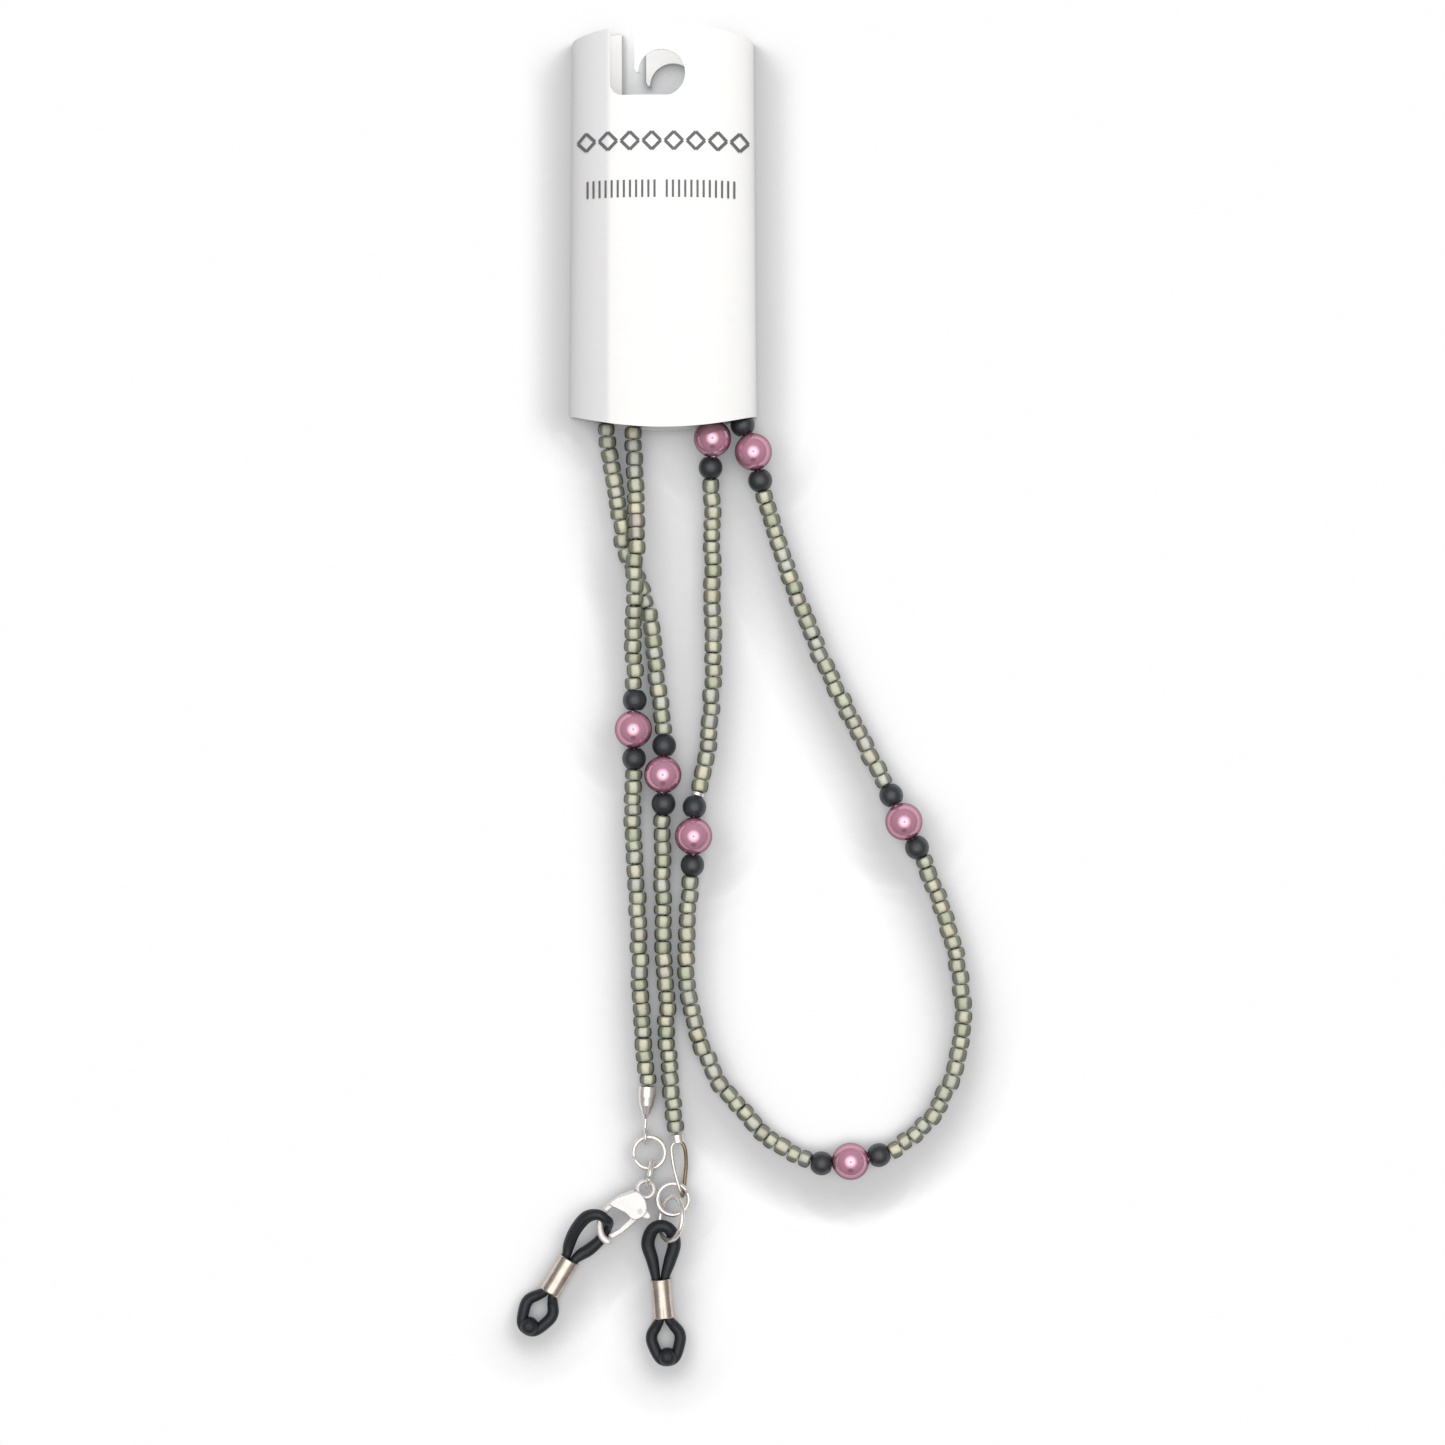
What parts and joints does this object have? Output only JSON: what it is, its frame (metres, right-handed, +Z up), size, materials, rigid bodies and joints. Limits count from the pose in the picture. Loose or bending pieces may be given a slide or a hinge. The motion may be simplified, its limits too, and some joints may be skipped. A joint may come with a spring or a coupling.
{
  "type": "eyeglass retainer strap",
  "caption": "Beaded strap that holds eyeglasses round the neck: glass seed beads, pink pearls and black spacers on thread, with rubber temple loops, threaded through its folded hang card.",
  "frame": {"origin": "middle of the whole strap as it lies flat, on the surface under it", "axes": "+Y along the strap from the temple loops to the hang card, +X to the right seen from above, +Z up"},
  "size_m": [0.0729, 0.2133, 0.0096],
  "materials": {
    "card_stock": "smooth coated white card",
    "thread_nylon": "twisted nylon thread",
    "seed_glass": "clear grey-green glass with a pale lined bore",
    "black_glass": "satin black",
    "pearl_pink": "metallic pink pearl coat",
    "silver_plate": "polished silver plate",
    "wire_gold": "worn gilt wire",
    "sleeve_metal": "warm nickel plate",
    "inner_steel": "plain steel",
    "loop_rubber": "matt black moulded rubber"
  },
  "bodies": {
    "strand": {"thread_left_strand": "thread_nylon", "thread_right_strand": "thread_nylon", "silver_bead": "silver_plate", "seed_run_2": "seed_glass", "seed_run_3": "seed_glass", "seed_run_4": "seed_glass", "seed_run_7": "seed_glass", "seed_run_8": "seed_glass", "seed_run_9": "seed_glass", "spacers_2": "black_glass", "spacers_3": "black_glass", "spacers_4": "black_glass", "spacers_7": "black_glass", "spacers_8": "black_glass", "spacers_9": "black_glass", "pearl_1": "pearl_pink", "pearl_2": "pearl_pink", "pearl_3": "pearl_pink", "pearl_4": "pearl_pink", "pearl_6": "pearl_pink", "pearl_7": "pearl_pink", "pearl_8": "pearl_pink", "pearl_9": "pearl_pink"},
    "card": {"hang_card": "card_stock"},
    "bottom_loop": {"thread_bottom_loop": "thread_nylon", "seed_run_5": "seed_glass", "seed_run_6": "seed_glass", "spacers_5": "black_glass", "spacers_6": "black_glass", "pearl_5": "pearl_pink"},
    "left_tail": {"thread_left_tail": "thread_nylon", "seed_run_1": "seed_glass", "spacers_1": "black_glass", "left_bead_tip": "silver_plate", "left_crimp": "inner_steel"},
    "right_tail": {"thread_right_tail": "thread_nylon", "seed_run_10": "seed_glass", "spacers_10": "black_glass", "right_crimp": "silver_plate", "right_wire_loop": "wire_gold"},
    "left_ring": {"left_jump_ring": "silver_plate"},
    "left_link": {"left_link_ring": "silver_plate"},
    "clasp": {"clasp_body": "silver_plate", "clasp_rivet": "inner_steel", "clasp_spring": "inner_steel"},
    "lever": {"clasp_lever": "silver_plate"},
    "left_loop": {"left_temple_loop": "loop_rubber"},
    "left_sleeve": {"left_sleeve": "sleeve_metal"},
    "right_ring": {"right_jump_ring": "silver_plate"},
    "right_link": {"right_link_ring": "silver_plate"},
    "right_loop": {"right_temple_loop": "loop_rubber"},
    "right_sleeve": {"right_sleeve": "sleeve_metal"}
  },
  "joints": [
    {"name": "card_slide", "type": "slide", "parent": "strand", "child": "card", "axis": [0, 1, 0], "range_m": [0, 0.06]},
    {"name": "bottom_loop_lift", "type": "hinge", "parent": "strand", "child": "bottom_loop", "pos_m": [0.00835, -0.02115, 0.003], "axis": [-0.9977, -0.0685, 0], "range_deg": [0, 60]},
    {"name": "left_tail_lift", "type": "hinge", "parent": "strand", "child": "left_tail", "pos_m": [-0.018, -0.0053, 0.003], "axis": [-1, 0, 0], "range_deg": [0, 60]},
    {"name": "right_tail_lift", "type": "hinge", "parent": "strand", "child": "right_tail", "pos_m": [-0.0133, -0.0125, 0.003], "axis": [-1, 0, 0], "range_deg": [0, 60]},
    {"name": "left_ring_swing", "type": "hinge", "parent": "left_tail", "child": "left_ring", "pos_m": [-0.0161, -0.0713, 0.0017], "axis": [0, 0, 1], "range_deg": [-10, 3]},
    {"name": "left_link_swing", "type": "hinge", "parent": "left_ring", "child": "left_link", "pos_m": [-0.0155, -0.0751, 0.0022], "axis": [0, 0, 1], "range_deg": [-10, 3]},
    {"name": "clasp_swing", "type": "hinge", "parent": "left_link", "child": "clasp", "pos_m": [-0.0158, -0.0778, 0.0026], "axis": [0, 0, 1], "range_deg": [-5, 5]},
    {"name": "clasp_lever_press", "type": "hinge", "parent": "clasp", "child": "lever", "pos_m": [-0.01692, -0.08203, 0.0026], "axis": [0, 0, -1], "range_deg": [0, 6], "stiffness_Nm_per_rad": 0.002, "springref_deg": -11.46},
    {"name": "left_loop_swing", "type": "hinge", "parent": "clasp", "child": "left_loop", "pos_m": [-0.0225, -0.0842, 0.0026], "axis": [0, 0, 1], "range_deg": [-8, 2]},
    {"name": "left_sleeve_slide", "type": "slide", "parent": "left_loop", "child": "left_sleeve", "axis": [-0.515, -0.8572, 0], "range_m": [-0.0015, 0.0015], "deforming": ["left_temple_loop"]},
    {"name": "right_ring_swing", "type": "hinge", "parent": "right_tail", "child": "right_ring", "pos_m": [-0.0106, -0.0786, 0.0015], "axis": [0, 0, 1], "range_deg": [-3, 10]},
    {"name": "right_link_swing", "type": "hinge", "parent": "right_ring", "child": "right_link", "pos_m": [-0.0119, -0.0822, 0.0025], "axis": [0, 0, 1], "range_deg": [-3, 10]},
    {"name": "right_loop_swing", "type": "hinge", "parent": "right_link", "child": "right_loop", "pos_m": [-0.0135, -0.0855, 0.0022], "axis": [0, 0, 1], "range_deg": [-3, 10]},
    {"name": "right_sleeve_slide", "type": "slide", "parent": "right_loop", "child": "right_sleeve", "axis": [0.0872, -0.9962, 0], "range_m": [-0.0015, 0.0015], "deforming": ["right_temple_loop"]}
  ]
}
